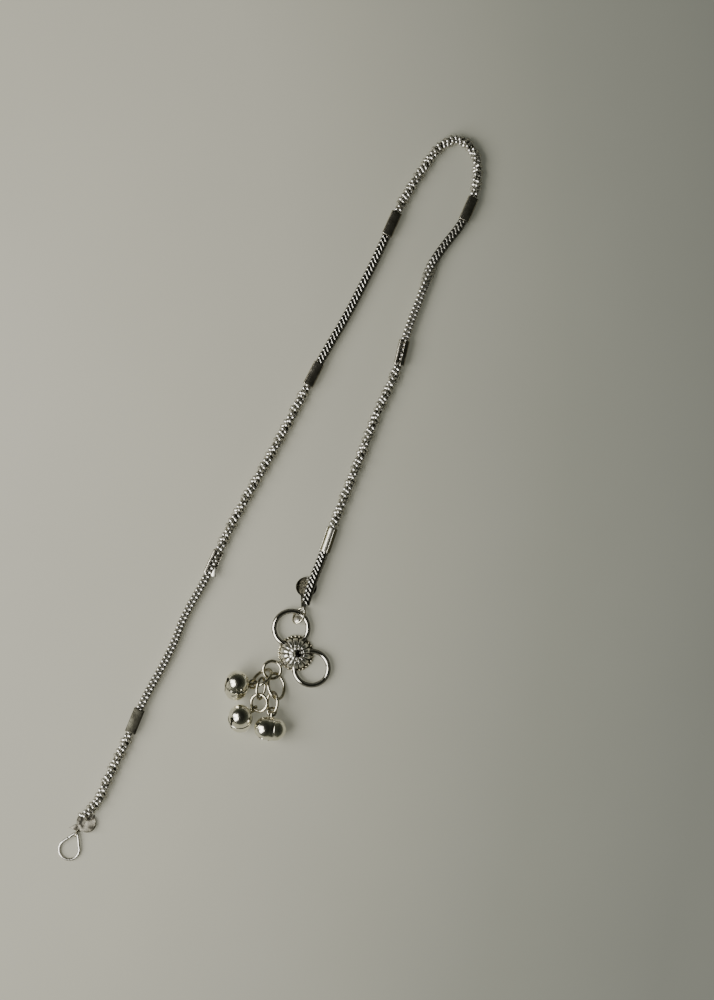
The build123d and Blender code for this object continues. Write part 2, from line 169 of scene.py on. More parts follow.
HOOK_LEAF_CORNER = [(-38.5, -66.1), (-37.4, -64.2), (-39.9, -65.5)]
HOOK_CORNER_THICKNESS = 0.3
HOOK_CORNER_LIFT = 0.05
HOOK_EYE_RADIUS = 0.5
HOOK_EYE_WIRE = 0.3
HOOK_SOLDER_RADIUS = 0.3
HOOK_SOLDER_HEIGHT = 0.5
EYE_SOLDER_REACH = 0.1  # how far past an eye's middle line its solder sits
SOLDER_LUMPS = 0.03
POOL_LUMPS = 0.01
GRAIN_LUMPS = 0.08
SLAB_EDGE_START = 0.7  # of a slab's height, where its upper edge starts to draw in
SLAB_EDGE_SHARE = 0.1  # how far it draws in, towards the middle

HOOK_WIRE = 0.54
HOOK_MEAN_RADIUS = 2.03
HOOK_TIP = (-38.44, -66.75, 0.66)
HOOK_TIP_RADIUS = 0.55
HOOK_CENTRE = (-39.87, -69.85, 0.44)
HOOK_GAP = 0.15
HOOK_CUT_REACH = 1.1
WIRE_END_SHARE = 0.86  # the width of a wire's domed end
WIRE_END_REACH = 0.2  # how far the dome stands out, in wire radii

# ---------------------------------------------------------------- flower boss and rings
FLOWER_CENTRE = (5.42, -30.64)
PLATE_RADIUS = 3.5
PLATE_THICKNESS = 0.4
DOME_RADIUS = 3.15
FLOWER_ROWS = 84
PETAL_COLUMNS = 20
ROW_SPREAD = 1.4  # above 1, rows are closer together near the rim
PETAL_COUNT = 14
PETAL_SHARES = (0.46, 1.08)  # where a petal starts and ends, from the middle to the rim
PETAL_CLEFT = 0.75  # depth between two petals
PETAL_NOTCH = 0.13  # how far the rim draws in between two petals
INNER_PETAL_COUNT = 9
INNER_PETAL_TURN = 0.2
INNER_PETAL_SHARES = (0.12, 0.5)
INNER_PETAL_CLEFT = 0.45
TIER_STEP_DEPTH = 0.3  # the groove between the two tiers
TIER_STEP_SPREAD = 0.045
CREST_HEIGHT = 2.25
PETAL_FULLNESS = 3.2  # 2 is a round bar, more is flatter on top
CREST_FULLNESS = 2.25  # 2 is a half ball, more is flatter on top and steeper at the rim
PIT_RADIUS = 0.92
PIT_OFFSET = 0.55
PIT_DEPTH = 0.75
PIT_EDGE = 1.25  # where the pit's slope starts, in its radii
CLEFT_DARK = 0.42  # how deep a cleft is where its tarnish is full
CLEFT_CLEAN = 0.35  # the share of that at which it starts
RIM_SINK = 0.05  # how far the petals' edge sinks into the plate
PLATE_PROFILE = [
    # radius, height, from the middle of the plate's top to the middle of its back
    (0, PLATE_THICKNESS), (PLATE_RADIUS - 0.14, PLATE_THICKNESS),
    (PLATE_RADIUS - 0.05, PLATE_THICKNESS - 0.02), (PLATE_RADIUS, PLATE_THICKNESS - 0.1),
    (PLATE_RADIUS, 0.12), (PLATE_RADIUS - 0.03, 0.04), (PLATE_RADIUS - 0.12, 0), (0, 0),
]
BEAD_COUNT = 28
BEAD_RADIUS = 0.27
BEAD_INSET = 0.1
BEAD_LUMPS = 0.02
RING_MEAN_RADIUS = 3.4
RING_WIRE = 0.95
RING_HEIGHT = 0.95
UPPER_RING_CENTRE = (4.50, -25.58)
CATCH_RING_CENTRE = (8.54, -33.60)
DROP_RING_CENTRE = (0.70, -33.90)
DROP_RING_MEAN_RADIUS = 1.75
DROP_RING_WIRE = 0.6
DROP_RING_HEIGHT = 1.1
DROP_SOLDER_RADIUS = 0.55
DROP_SOLDER_HEIGHT = 0.75
DROP_SOLDER_REACH = 0.15  # past the plate's edge
DROP_SOLDER_LUMPS = 0.04

# ---------------------------------------------------------------- loose links and bells
# Middle, half length, half width, wire, bearing of the long axis from +X, its lift, its roll.
LINKS = {
    # name: (centre, half_length, half_width, wire, bearing, pitch, roll)
    "drop_link": ((1.53, -37.14, 1.49), 2.6, 1.85, 0.6, 98.6, -14.0, 34.6),
    "jump_ring_upper": ((-1.26, -35.43, 1.68), 2.15, 1.7, 0.6, 41.2, -9.5, -52.3),
    "long_link": ((-1.5, -37.52, 2.71), 2.15, 1.05, 0.54, 83.5, 6.1, 42.2),
    "jump_ring_lower": ((-1.84, -40.41, 2.41), 1.7, 1.7, 0.6, -0.2, 21.4, 2.9),
    "bell_link": ((0.8, -40.3, 2.17), 2.0, 1.55, 0.6, 91.4, -9.8, -47.8),
}
OVAL_END_FULLNESS = 1.1

# Middle, rise of the axis and its bearing from +Y, turn of the eye about the axis, twist of
# the eye about its own stem.
BELLS = [
    # (x, y), axis_rise, axis_bearing, eye_turn, eye_twist
    ((-6.31, -36.95), 39.3, 11.7, 24.4, 54.9),
    ((-5.58, -43.53), 56.0, 1.9, 41.9, 91.1),
    ((0.36, -45.55), 24.4, -81.6, 6.1, 72.8),
]
CUP_RADIUS = 2.3
CUP_STRAIGHT = 1.0
CUP_WALL = 0.25
CUP_STEPS = 24  # from a cup's pole to its straight wall
FLANGE_RADIUS = 2.45
FLANGE_THICKNESS = 0.3
BELL_EYE_RADIUS = 0.8
BELL_EYE_WIRE = 0.46
BELL_EYE_REACH = 3.35
BELL_NECK_RADIUS = 0.3
BELL_NECK_LENGTH = 1.0
BELL_NECK_SINK = 0.1  # how far the neck starts inside the cup
FLANGE_PROFILE = [
    # radius, height, from the cup's wall out to the flange's rim
    (CUP_RADIUS, FLANGE_THICKNESS / 2 + 0.1), (CUP_RADIUS + 0.02, FLANGE_THICKNESS / 2 + 0.03),
    (FLANGE_RADIUS - 0.06, FLANGE_THICKNESS / 2),
    (FLANGE_RADIUS - 0.015, FLANGE_THICKNESS / 2 - 0.03),
    (FLANGE_RADIUS, FLANGE_THICKNESS / 2 - 0.08),
]
SLIT_WIDTH = 0.45
SLIT_END_RADIUS = 0.5
SLIT_HALF_LENGTH = 1.8
SLIT_TOOL_INNER_END = 0.5  # how far from the bell's axis the slit's cut stops
SMOOTH_ANGLE = 38  # degrees, past which a bell's edge is sharp

# ---------------------------------------------------------------- camera and light
VIEW_CENTRE = (17.66, 0.0)  # what the picture's middle looks at
VIEW_HEIGHT = 700.0
PICTURE_LONG_SIDE = 200.0  # how much of the table the picture's long side takes in
SENSOR = 36.0
CLIP = (0.01, 10)  # metres
# Two tall windows to the left, all in metres.
WINDOWS = {"window_near": (-0.34, -0.26, 0.38), "window_far": (-0.41, 0.01, 0.38)}
WINDOW_SIZE = (0.25, 0.46)
WINDOW_POWER = 2.3
WINDOW_COLOUR = (1.0, 0.98, 0.93)
# A dim room: darker and a little green overhead, paler low down.
ROOM_TONES = [
    # height of the direction, colour
    (0.0, (0.09, 0.09, 0.07)), (0.3, (0.045, 0.048, 0.036)), (0.8, (0.012, 0.013, 0.01)),
]

# Painted light: the paper is painted brightest near a spot by the window and fades away from it,
# slower along Y.
PAPER_HALF_SIDE = 2.0  # metres
PAPER_BRIGHT_SPOT = (-60.0, 30.0, 0.0)
PAPER_STRETCH = (1, 0.5, 1)
PAPER_FADE_REACH = 160.0
PAPER_TONES = [(0.3, (0.425, 0.413, 0.35)), (0.7, (0.45, 0.437, 0.372))]
# How the painted light on the paper's colour falls off away from the spot.
PAPER_PAINTED_FALLOFF = [
    # share of the reach, colour the tone is multiplied by
    (0.0, WHITE), (0.4, (0.94, 0.95, 0.94)), (0.75, (0.7, 0.73, 0.73)),
    (0.95, (0.58, 0.61, 0.62)),
]
# Painted light: the paper's own glow, brightest near the spot, which lightens its shadows.
PAPER_PAINTED_GLOW = [
    (0.0, (0.215, 0.21, 0.172)), (0.4, (0.155, 0.153, 0.122)), (0.75, (0.06, 0.064, 0.052)),
    (0.95, (0.045, 0.049, 0.042)),
]
PAPER_ROUGHNESS = 0.9
PAPER_MOTTLES = (18, 3, 0.55)  # a noise's scale a metre, its detail and its roughness
PAPER_FIBRES = (2200, 5, 0.7)
PAPER_RELIEF = (0.15, 0.05)  # how strong the fibres' relief is, and how deep

# ---------------------------------------------------------------- finishes
# Painted shade on flanks: how level a surface is where its painted shade is darkest and where
# it ends; 1 faces straight up or down.
FLANK_SHADE = (0.38, 0.8)
DEEP_FLANK_SHADE = (0.6, 0.91)
SHADED_FLANK_METAL = 0.45  # how metallic a flank still is where its painted shade is darkest
CLOUDS = (700, 3, 0.55)  # a noise's scale a metre, its detail and its roughness
GRAINS = (6500, 4, 0.7)
CLOUD_SHARES = (0.35, 0.62)  # where the clouds of tone turn from dull to bright
GRAIN_SHARES = (0.3, 0.75)
SCRATCH_DEPTH = 0.02
# Each silver's bright and dull tones, its least and most roughness, how strong its scratches
# are, and where it has them the colour of its patina and painted shade and of its flanks' painted
# shade.
FINISHES = {
    # name: (bright, dull, roughness, scratches, patina and shade, flank shade colour, flank shade
    # levels)
    "chain_silver": (
        (0.98, 0.96, 0.91), (0.9, 0.88, 0.82), (0.24, 0.4), 0.2,
        (0.13, 0.13, 0.105), (0.5, 0.49, 0.43), FLANK_SHADE,
    ),
    # A darker, smoother copy for the shaded plain lengths: its darker tone is painted shade.
    "shaded_plain_silver": (
        (0.82, 0.8, 0.74), (0.68, 0.66, 0.6), (0.12, 0.22), 0.15,
        (0.05, 0.05, 0.04), (0.4, 0.39, 0.34), FLANK_SHADE,
    ),
    "flower_silver": (
        (0.99, 0.98, 0.93), (0.94, 0.93, 0.87), (0.17, 0.3), 0.1,
        (0.05, 0.05, 0.038), (0.42, 0.41, 0.34), (0.34, 0.72),
    ),
    "sleeve_silver": (
        (0.86, 0.82, 0.7), (0.5, 0.47, 0.38), (0.14, 0.26), 0.25,
        None, (0.3, 0.28, 0.21), FLANK_SHADE,
    ),
    # A brighter copy for the last sleeve: a painted highlight in its tone, and painted shade on all
    # but its most level faces.
    "lit_sleeve_silver": (
        (0.98, 0.95, 0.84), (0.86, 0.83, 0.7), (0.24, 0.34), 0.2,
        None, (0.13, 0.125, 0.08), (0.84, 0.97),
    ),
    # A dark copy for the first sleeve: its roughness and scratches are wear, its dark tone is
    # painted shade.
    "worn_and_shaded_silver": (
        (0.16, 0.157, 0.122), (0.06, 0.058, 0.044), (0.36, 0.5), 0.4,
        None, (0.4, 0.39, 0.32), FLANK_SHADE,
    ),
    "leaf_silver": (
        (0.92, 0.9, 0.82), (0.6, 0.59, 0.5), (0.18, 0.34), 0.35,
        (0.045, 0.045, 0.03), (0.2, 0.19, 0.14), FLANK_SHADE,
    ),
    # A dark copy for the hook's leaf: its dark tone and rim colour are painted shade.
    "shaded_hook_leaf_silver": (
        (0.3, 0.285, 0.24), (0.21, 0.2, 0.165), (0.42, 0.6), 0.35,
        (0.2, 0.19, 0.155), (0.4, 0.38, 0.32), FLANK_SHADE,
    ),
    "ring_silver": (
        (0.95, 0.92, 0.82), (0.84, 0.8, 0.68), (0.05, 0.12), 0.15,
        None, (0.07, 0.065, 0.045), DEEP_FLANK_SHADE,
    ),
    "hook_silver": (
        (0.98, 0.96, 0.9), (0.9, 0.88, 0.8), (0.22, 0.32), 0.15,
        None, (0.16, 0.15, 0.12), (0.34, 0.7),
    ),
    "wire_silver": (
        (0.97, 0.92, 0.74), (0.85, 0.79, 0.58), (0.13, 0.23), 0.15,
        None, (0.14, 0.125, 0.07), FLANK_SHADE,
    ),
    "solder_silver": (
        (0.93, 0.91, 0.82), (0.7, 0.68, 0.58), (0.24, 0.45), 0.3,
        None, (0.3, 0.29, 0.22), FLANK_SHADE,
    ),
    "bell_silver": (
        (0.92, 0.9, 0.79), (0.74, 0.72, 0.6), (0.14, 0.24), 0.15, None, None, FLANK_SHADE,
    ),
    "pellet_steel": (
        (0.5, 0.5, 0.5), (0.38, 0.38, 0.38), (0.25, 0.45), 0.3, None, None, FLANK_SHADE,
    ),
}


# ================================================================ shared sums
def smooth_step(value):
    """0 below 0, 1 above 1 and an even slope between."""
    value = np.clip(value, 0, 1)
    return value * value * (3 - 2 * value)


def spread(first, last, steps):
    """That many even steps from the first value on, stopping one short of the last."""
    return [first + (last - first) * step / steps for step in range(steps)]


def full_turn(steps):
    """Even steps round a full turn, in radians."""
    return spread(0, 2 * math.pi, steps)


def around(radius, turn, height=0.0):
    """The place at that turn round Z."""
    return Vector((radius * math.cos(turn), radius * math.sin(turn), height))


def on_table(point, height=0.0):
    """A flat point as a place at that height."""
    return Vector((*point, height))


# ================================================================ materials
class Shading:
    """The nodes of a material or a world, with the few kinds that this scene uses."""

    def __init__(self, owner):
        owner.use_nodes = True
        self.nodes = owner.node_tree.nodes
        self.link = owner.node_tree.links.new

    def noise(self, coordinates, scale, detail, roughness):
        """A noise texture on those coordinates."""
        texture = self.nodes.new("ShaderNodeTexNoise")
        texture.inputs["Scale"].default_value = scale
        texture.inputs["Detail"].default_value = detail
        texture.inputs["Roughness"].default_value = roughness
        self.link(coordinates, texture.inputs["Vector"])
        return texture.outputs["Fac"]

    def ramp(self, value, stops):
        """A colour ramp through (position, colour) stops."""
        node = self.nodes.new("ShaderNodeValToRGB")
        elements = node.color_ramp.elements
        while len(elements) < len(stops):
            elements.new(0.5)
        for element, (position, colour) in zip(elements, stops):
            element.position = position
            element.color = (*colour, 1)
        self.link(value, node.inputs["Fac"])
        return node.outputs["Color"]

    def grey_ramp(self, value, positions, greys):
        """A ramp from one grey to another."""
        return self.ramp(value, [(at, (grey,) * 3) for at, grey in zip(positions, greys)])

    def mix(self, first, blend="MIX"):
        """A node that mixes colours, the first one linked."""
        node = self.nodes.new("ShaderNodeMix")
        node.data_type = "RGBA"
        node.blend_type = blend
        self.link(first, node.inputs["A"])
        return node

    def paint_darkening(self, tone, colour):
        """The tone, turned to a plain colour as far as each vertex's stored patina and painted
        shade reach.
        """
        attribute = self.nodes.new("ShaderNodeAttribute")
        attribute.attribute_name = "patina_and_shade"
        node = self.mix(tone)
        self.link(attribute.outputs["Fac"], node.inputs["Factor"])
        node.inputs["B"].default_value = (*colour, 1)
        return node.outputs["Result"]

    def multiply(self, first, second):
        """One colour times another."""
        node = self.mix(first, "MULTIPLY")
        node.inputs["Factor"].default_value = 1.0
        self.link(second, node.inputs["B"])
        return node.outputs["Result"]

    def vector_sum(self, operation, vector, constant=WHITE):
        """A vector sum with a constant; the result may be a vector or a value."""
        node = self.nodes.new("ShaderNodeVectorMath")
        node.operation = operation
        node.inputs[1].default_value = constant
        self.link(vector, node.inputs[0])
        return node.outputs

    def height(self, vector):
        """The vector's Z."""
        split = self.nodes.new("ShaderNodeSeparateXYZ")
        self.link(vector, split.inputs["Vector"])
        return split.outputs["Z"]

    def relief(self, shader, height, strength, depth):
        """Bump on the shader from that height."""
        bump = self.nodes.new("ShaderNodeBump")
        bump.inputs["Strength"].default_value = strength
        bump.inputs["Distance"].default_value = depth * MM
        self.link(height, bump.inputs["Height"])
        self.link(bump.outputs["Normal"], shader.inputs["Normal"])


def silver(name, bright, dull, roughness, scratches, patina_and_shade, edge, flank_shade_levels):
    """Polished silver: cloudy tone and gloss, fine scratches, and if asked patina and painted shade
    in hollows and painted shade on flanks.
    """
    material = bpy.data.materials.new(name)
    shading = Shading(material)
    shader = shading.nodes["Principled BSDF"]
    coordinates = shading.nodes.new("ShaderNodeTexCoord").outputs
    clouds = shading.noise(coordinates["Object"], *CLOUDS)
    grains = shading.noise(coordinates["Object"], *GRAINS)
    tone = shading.ramp(clouds, list(zip(CLOUD_SHARES, (dull, bright))))
    shader.inputs["Metallic"].default_value = 1.0
    # Patina and painted shade: each vertex's stored share turns the tone to that dark colour.
    if patina_and_shade is not None:
        tone = shading.paint_darkening(tone, patina_and_shade)
    # Painted shade on the flanks: the steeper a surface, the darker and less metallic its colour,
    # with the edge colour as its grazing tint.
    if edge is not None:
        level = shading.nodes.new("ShaderNodeMath")
        level.operation = "ABSOLUTE"
        shading.link(shading.height(coordinates["Normal"]), level.inputs[0])
        level = level.outputs["Value"]
        tone = shading.multiply(tone, shading.ramp(level, list(zip(flank_shade_levels, (edge, WHITE)))))
        shading.link(shading.grey_ramp(level, flank_shade_levels, (SHADED_FLANK_METAL, 1)), shader.inputs["Metallic"])
        shader.inputs["Specular Tint"].default_value = (*edge, 1)
    shading.link(tone, shader.inputs["Base Color"])
    shading.link(shading.grey_ramp(grains, GRAIN_SHARES, roughness), shader.inputs["Roughness"])
    shading.relief(shader, grains, scratches, SCRATCH_DEPTH)
    return material


def paper():
    """Warm grey paper, painted brighter towards the window; its own glow is painted light standing
    for the light in it.
    """
    material = bpy.data.materials.new("paper")
    shading = Shading(material)
    shader = shading.nodes["Principled BSDF"]
    position = shading.nodes.new("ShaderNodeTexCoord").outputs["Object"]
    away = shading.vector_sum("SUBTRACT", position, Vector(PAPER_BRIGHT_SPOT) * MM)["Vector"]
    oval = shading.vector_sum("MULTIPLY", away, PAPER_STRETCH)["Vector"]
    distance = shading.vector_sum("LENGTH", oval)["Value"]
    share = shading.nodes.new("ShaderNodeMapRange")
    share.inputs["From Max"].default_value = PAPER_FADE_REACH * MM
    shading.link(distance, share.inputs["Value"])
    share = share.outputs["Result"]
    tone = shading.ramp(shading.noise(position, *PAPER_MOTTLES), PAPER_TONES)
    # Painted light: the tone is multiplied down away from the spot, and the glow follows it.
    faded = shading.multiply(tone, shading.ramp(share, PAPER_PAINTED_FALLOFF))
    shading.link(faded, shader.inputs["Base Color"])
    shading.link(shading.ramp(share, PAPER_PAINTED_GLOW), shader.inputs["Emission Color"])
    shader.inputs["Emission Strength"].default_value = 1.0
    shader.inputs["Roughness"].default_value = PAPER_ROUGHNESS
    shading.relief(shader, shading.noise(position, *PAPER_FIBRES), *PAPER_RELIEF)
    return material


# ================================================================ mesh helpers
def new_object(name, data):
    """An object with that data, in the scene."""
    made = bpy.data.objects.new(name, data)
    bpy.context.scene.collection.objects.link(made)
    return made


def new_mesh(name, vertices, faces):
    """A mesh of those faces, in metres."""
    mesh = bpy.data.meshes.new(name)
    mesh.from_pydata([tuple(vertex) for vertex in vertices], [], faces)
    return mesh


def new_piece(name, vertices, faces, material, slot, *nodes):
    """A smooth-shaded piece, in metres, that stands for those CAD nodes."""
    mesh = new_mesh(name, vertices, faces)
    mesh.validate()
    mesh.shade_smooth()
    return finish_piece(name, mesh, material, slot, *nodes)


def finish_piece(name, mesh, material, slot, *nodes):
    """Links the mesh as a piece of the root body and hides the CAD nodes that it stands for."""
    mesh.materials.clear()
    mesh.materials.append(material)
    piece = new_object(name, mesh)
    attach(piece, "root")
    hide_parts(*nodes)
    return piece


def sheet_piece(name, vertices, faces, thickness, material, slot, *nodes):
    """A thin sheet given its thickness both ways, with its edges rounded."""
    work = new_object(name + "_work", new_mesh(name, vertices, faces))
    solid = work.modifiers.new("thickness", "SOLIDIFY")
    solid.thickness = thickness * MM
    solid.offset = 0
    solid.use_even_offset = True
    bevel = work.modifiers.new("edges", "BEVEL")
    bevel.width = thickness * EDGE_ROUNDING * MM
    bevel.segments = 2
    bevel.limit_method = "ANGLE"
    bevel.angle_limit = math.radians(EDGE_ANGLE)
    graph = bpy.context.evaluated_depsgraph_get()
    made = bpy.data.meshes.new_from_object(work.evaluated_get(graph))
    bpy.data.objects.remove(work)
    made.shade_smooth()
    return finish_piece(name, made, material, slot, *nodes)


def mark_patina_and_shade(piece, values):
    """Stores each vertex's share of patina and painted shade, for the material."""
    attribute = piece.data.attributes.new("patina_and_shade", "FLOAT", "POINT")
    attribute.data.foreach_set("value", np.asarray(values, dtype=np.float32))


def grid_faces(rows, columns, wrap_rows, wrap_columns, first=0):
    """Quads over a grid of vertices numbered row by row."""
    faces = []
    for row in range(rows if wrap_rows else rows - 1):
        for column in range(columns if wrap_columns else columns - 1):
            here = first + row * columns
            beyond = first + (row + 1) % rows * columns
            after = (column + 1) % columns
            faces.append((here + column, here + after, beyond + after, beyond + column))
    return faces


def capped_faces(rows, columns):
    """Outward faces over a top vertex, rings of vertices below it, and a bottom vertex."""
    faces = [face[::-1] for face in grid_faces(rows, columns, False, True, 1)]
    last = 1 + (rows - 1) * columns
    bottom = last + columns
    for column in range(columns):
        after = (column + 1) % columns
        faces.append((0, 1 + column, 1 + after))
        faces.append((bottom, last + after, last + column))
    return faces


def lathe(profile, sides=96):
    """Vertices and faces of a body turned about Z, its profile going from its top to its foot."""
    (_, top), *rings, (_, foot) = profile
    vertices = [Vector((0, 0, top))]
    for radius, z in rings:
        vertices.extend(around(radius, turn, z) for turn in full_turn(sides))
    vertices.append(Vector((0, 0, foot)))
    return vertices, capped_faces(len(rings), sides)


class Shape:
    """Vertices and faces that grow part by part, in millimetres."""

    def __init__(self):
        self.vertices = []
        self.faces = []

    def add(self, vertices, faces):
        """One more part."""
        first = len(self.vertices)
        self.vertices.extend(vertices)
        self.faces.extend(tuple(first + index for index in face) for face in faces)

    def wire(self, points, normal, radius, closed=True, sides=20):
        """A round wire along a flat path; open ends are domed a little."""
        count = len(points)
        stations = [(index, 1.0, 0.0) for index in range(count)]
        if not closed:
            stations.insert(0, (0, WIRE_END_SHARE, -WIRE_END_REACH))
            stations.append((count - 1, WIRE_END_SHARE, WIRE_END_REACH))
        vertices = []
        for index, share, push in stations:
            before, after = index - 1, (index + 1) % count
            if not closed:
                before, after = max(before, 0), min(index + 1, count - 1)
            along = (points[after] - points[before]).normalized()
            outward = along.cross(normal).normalized()
            middle = points[index] + along * radius * push
            for turn in full_turn(sides):
                offset = outward * math.cos(turn) + normal * math.sin(turn)
                vertices.append(middle + offset * radius * share)
        faces = [face[::-1] for face in grid_faces(len(stations), sides, closed, True)]
        if not closed:
            last = (len(stations) - 1) * sides
            faces.append(tuple(range(sides)))
            faces.append(tuple(range(last, last + sides))[::-1])
        self.add(vertices, faces)

    def slab(self, low, high):
        """A flat piece between a lower and an upper outline, its upper edge drawn in a little."""
        middle = sum(high, Vector()) / len(high)
        outlines = [
            low,
            [foot + (top - foot) * SLAB_EDGE_START for foot, top in zip(low, high)],
            [top + (middle - top) * SLAB_EDGE_SHARE for top in high],
        ]
        count = len(low)
        faces = grid_faces(len(outlines), count, False, True)
        faces.append(tuple(range(count))[::-1])
        faces.append(tuple(range(2 * count, 3 * count)))
        self.add([point for outline in outlines for point in outline], faces)

    def ball(self, centre, radius, lumps=0.0, squash=1.0, rings=12, sides=20, pose=None):
        """A sphere, lumpy, flattened and tilted where asked."""
        pose = pose or Matrix.Identity(3)
        ways = [UP * squash]
        for tilt in spread(0, math.pi, rings)[1:]:
            for turn in full_turn(sides):
                way = around(math.sin(tilt), turn, math.cos(tilt) * squash)
                ways.append(way * (1 + lumps * random.uniform(-1, 1)))
        ways.append(-UP * squash)
        vertices = [Vector(centre) + pose @ way * radius for way in ways]
        self.add(vertices, capped_faces(rings - 1, sides))

    def piece(self, name, material, slot, node):
        """The finished piece, which stands for that CAD node."""
        vertices = [vertex * MM for vertex in self.vertices]
        return new_piece(name, vertices, self.faces, material, slot, node)


def circle_points(centre, normal, radius, count=96):
    """Points round a circle."""
    normal = Vector(normal).normalized()
    side = normal.orthogonal().normalized()
    other = normal.cross(side)
    return [
        Vector(centre) + (side * math.cos(turn) + other * math.sin(turn)) * radius
        for turn in full_turn(count)
    ]


def oval_points(half_length, half_width, count=112):
    """Points along a flat oval of four tangent arcs, or along a circle."""
    if half_length == half_width:
        return [around(half_length, turn) for turn in full_turn(count)]
    end = half_width ** 2 / half_length * OVAL_END_FULLNESS
    side = (half_length ** 2 + half_width ** 2 - 2 * half_length * end) / (2 * (half_width - end))
    end_centre = half_length - end
    side_centre = side - half_width
    lean = math.atan2(end_centre, side_centre)
    quarter = math.pi / 2
    arcs = [
        # middle of the arc's circle, radius, first angle, last angle
        ((end_centre, 0), end, lean - quarter, quarter - lean),
        ((0, -side_centre), side, quarter - lean, quarter + lean),
        ((-end_centre, 0), end, quarter + lean, 3 * quarter - lean),
        ((0, side_centre), side, 3 * quarter - lean, 3 * quarter + lean),
    ]
    return [
        on_table(middle) + around(radius, angle)
        for middle, radius, first, last in arcs
        for angle in spread(first, last, count // 4)
    ]


# ================================================================ chain
def chain_route(name):
    """The smooth line of one length of chain: its NURBS curve, read as points in metres."""
    names = list(CHAIN_BENDS)
    index = names.index(name)
    corners = [Vector(corner) for corner in CHAIN_BENDS[name]]
    if index > 0:
        corners.insert(0, (Vector(CHAIN_BENDS[names[index - 1]][-1]) + corners[0]) / 2)
    if index < len(names) - 1:
        corners.append((Vector(CHAIN_BENDS[names[index + 1]][0]) + corners[-1]) / 2)
    curve = bpy.data.curves.new(name + "_line", "CURVE")
    curve.dimensions = "3D"
    curve.resolution_u = CURVE_STEPS
    spline = curve.splines.new("NURBS")
    spline.points.add(len(corners) - 1)
    for point, corner in zip(spline.points, corners):
        point.co = (*(corner * MM), 1)
    spline.order_u = 3
    spline.use_endpoint_u = True
    holder = bpy.data.objects.new(name + "_line", curve)
    mesh = bpy.data.meshes.new_from_object(holder)
    points = np.array([vertex.co for vertex in mesh.vertices])
    bpy.data.objects.remove(holder)
    bpy.data.curves.remove(curve)
    bpy.data.meshes.remove(mesh)
    return points


def unit(vectors):
    """An array of vectors, each at length 1."""
    return vectors / np.linalg.norm(vectors, axis=-1)[..., None]


def signed_power(values, powers):
    """Each value's size raised to the power, with its sign kept."""
    return np.sign(values) * np.abs(values) ** powers


def strand_rings(centres, ways, turns, corners, roundness, wave, flatness, tilts):
    """One closed waved strand at each centre, as (link, along, across) places, with patina and
    painted shade.
    """
    up = np.array(UP)
    rise = unit(up - ways * (ways @ up)[:, None])
    right = np.cross(ways, rise)
    angle = np.linspace(0, 2 * np.pi, STRAND_STEPS, endpoint=False)

    def path(theta):
        shape = np.abs(np.cos(theta)) ** roundness + np.abs(np.sin(theta)) ** roundness
        reach = shape ** (-1 / roundness) * (corners[:, None] - STRAND_HALF_THICKNESS)
        total = turns[:, None] + theta
        lean = wave * np.cos(2 * theta)
        lean = lean + tilts[:, None, 0] * np.cos(theta) * reach
        lean = lean + tilts[:, None, 1] * np.sin(theta) * reach
        return (
            centres[:, None]
            + rise[:, None] * (reach * np.cos(total))[..., None]
            + right[:, None] * (reach * np.sin(total))[..., None]
            + ways[:, None] * lean[..., None]
        )

    middle = path(angle[None, :])
    step = 0.05
    along = unit(path(angle[None, :] + step) - path(angle[None, :] - step))
    outward = unit(np.cross(along, ways[:, None]))
    outward *= np.sign(np.sum(outward * (middle - centres[:, None]), axis=2))[..., None]
    across = np.cross(along, outward)
    across_steps = WORN_STEPS if flatness.max() > 2 else ROUND_STEPS
    turn = np.linspace(0, 2 * np.pi, across_steps, endpoint=False)
    swell = (1 + STRAND_SWELL * np.cos(4 * angle))[None, :, None, None]
    power = 2 / flatness[:, None]
    thick = signed_power(np.cos(turn), power) * STRAND_HALF_THICKNESS
    wide = signed_power(np.sin(turn), power) * STRAND_HALF_WIDTH
    section = swell * (
        outward[:, :, None] * thick[:, None, :, None] + across[:, :, None] * wide[:, None, :, None]
    )
    # Patina and painted shade on each strand's inner side.
    patina_and_shade = np.broadcast_to(smooth_step(STRAND_SHADE_REACH - np.cos(turn)), section.shape[:3])
    return middle[:, :, None] + section, patina_and_shade


def resting_height(corners, turns, twisted):
    """How high the chain's middle lies: a twisted length rests on its corners, a plain one flat."""
    if twisted:
        return corners
    flat = np.maximum(np.abs(np.cos(turns)), np.abs(np.sin(turns)))
    return (corners - STRAND_HALF_THICKNESS) * flat + STRAND_HALF_THICKNESS


def out_of_sleeve(reach):
    """0 inside a sleeve and 1 clear of it, by the distance from the sleeve's middle."""
    return smooth_step((reach - SQUEEZE_START) / (SQUEEZE_END - SQUEEZE_START))


